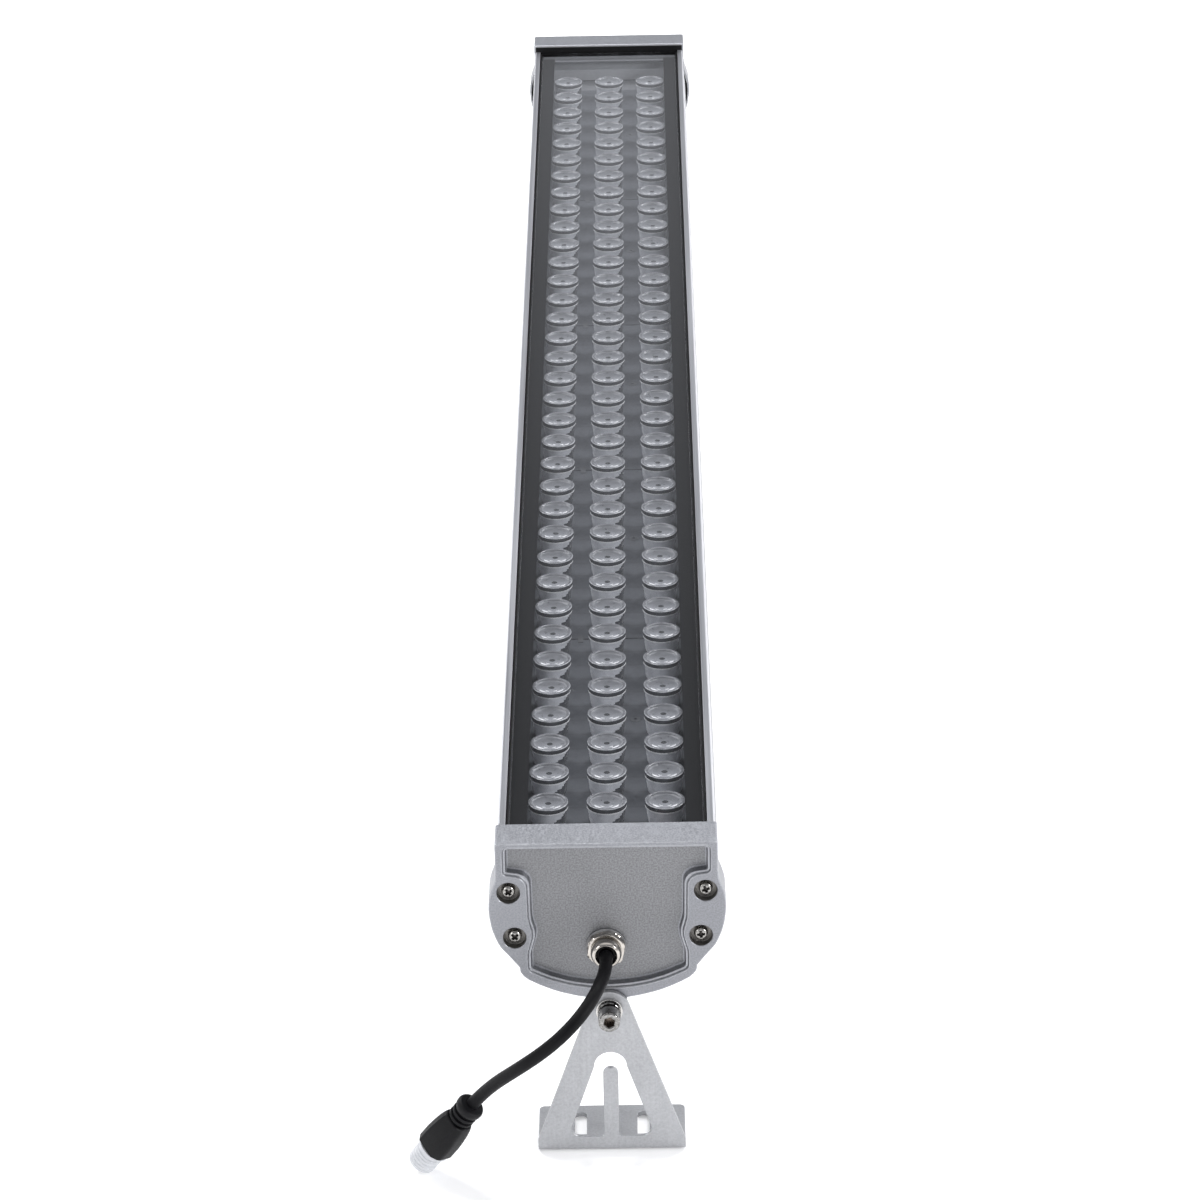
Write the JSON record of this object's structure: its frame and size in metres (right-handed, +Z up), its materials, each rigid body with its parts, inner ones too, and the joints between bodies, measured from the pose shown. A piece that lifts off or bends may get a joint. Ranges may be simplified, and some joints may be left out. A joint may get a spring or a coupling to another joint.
{
  "type": "led strip batten",
  "caption": "Linear LED wall washer: aluminium channel with a glass cover over columns of lenses, cast end caps, two tilting brackets and a short cord with a plug.",
  "frame": {"origin": "middle of the footprint, on the plane that the two bracket feet stand on", "axes": "+X across the bar, +Y along the bar away from the cord end, +Z up, towards the light-giving glass face"},
  "size_m": [0.1264, 1.0577, 0.1375],
  "materials": {
    "cast_cap": "silver metallic powder coat with a fine sand texture",
    "extrusion": "sand-blasted and clear anodised",
    "bracket_sheet": "brushed sheet",
    "stainless": "bright stainless",
    "nickel": "nickel-plated brass",
    "seal_rubber": "black moulded rubber",
    "cover_glass": "clear toughened glass with a black printed border",
    "led_board": "dark grey solder mask over aluminium",
    "lens_acrylic": "clear moulded acrylic",
    "black_oxide": "black oxide",
    "wire": "insulated wire",
    "cord_jacket": "black rubber jacket",
    "plug_moulding": "black moulded plug",
    "plug_insert": "white moulded insert",
    "contact_brass": "plain brass",
    "driver_case": "bent sheet",
    "driver_board": "circuit board with components"
  },
  "bodies": {
    "lamp": {"board_link_1": "wire", "board_link_2": "wire", "board_link_3": "wire", "board_link_4": "wire", "board_screw_1": "black_oxide", "board_screw_2": "black_oxide", "board_screw_3": "black_oxide", "board_screw_4": "black_oxide", "board_screw_5": "black_oxide", "bolt_washer_far": "stainless", "bolt_washer_near": "stainless", "bracket_bolt_far": "stainless", "bracket_bolt_near": "stainless", "cap_screw_far_lower_left": "stainless", "cap_screw_far_lower_right": "stainless", "cap_screw_far_upper_left": "stainless", "cap_screw_far_upper_right": "stainless", "cap_screw_near_lower_left": "stainless", "cap_screw_near_lower_right": "stainless", "cap_screw_near_upper_left": "stainless", "cap_screw_near_upper_right": "stainless", "cover_gasket": "seal_rubber", "driver_board": "driver_board", "driver_case": "driver_case", "end_cap_far": "cast_cap", "end_cap_near": "cast_cap", "end_gasket_far": "seal_rubber", "end_gasket_near": "seal_rubber", "gland_body": "nickel", "gland_cord_seal": "seal_rubber", "gland_dome_nut": "nickel", "gland_locknut": "nickel", "gland_washer": "seal_rubber", "glass_cover": "cover_glass", "housing": "extrusion", "led_board_1": "led_board", "led_board_2": "led_board", "led_board_3": "led_board", "led_board_4": "led_board", "led_board_5": "led_board", "led_feed_lead": "wire", "lens_array_1": "lens_acrylic", "lens_array_2": "lens_acrylic", "lens_array_3": "lens_acrylic", "lens_array_4": "lens_acrylic", "lens_array_5": "lens_acrylic", "plug_body": "plug_moulding", "plug_insert": "plug_insert", "plug_pin_1": "contact_brass", "plug_pin_2": "contact_brass", "spring_washer_far": "stainless", "spring_washer_near": "stainless", "supply_cord": "cord_jacket", "supply_lead_inner": "cord_jacket"},
    "near_bracket": {"bracket_near": "bracket_sheet"},
    "far_bracket": {"bracket_far": "bracket_sheet"}
  },
  "joints": [
    {"name": "tilt_near", "type": "hinge", "parent": "lamp", "child": "near_bracket", "pos_m": [0, -0.5013, 0.0647], "axis": [0, 1, 0], "range_deg": [-90, 90]},
    {"name": "tilt_far", "type": "hinge", "parent": "lamp", "child": "far_bracket", "pos_m": [0, 0.5013, 0.0647], "axis": [0, 1, 0], "range_deg": [-90, 90]}
  ]
}
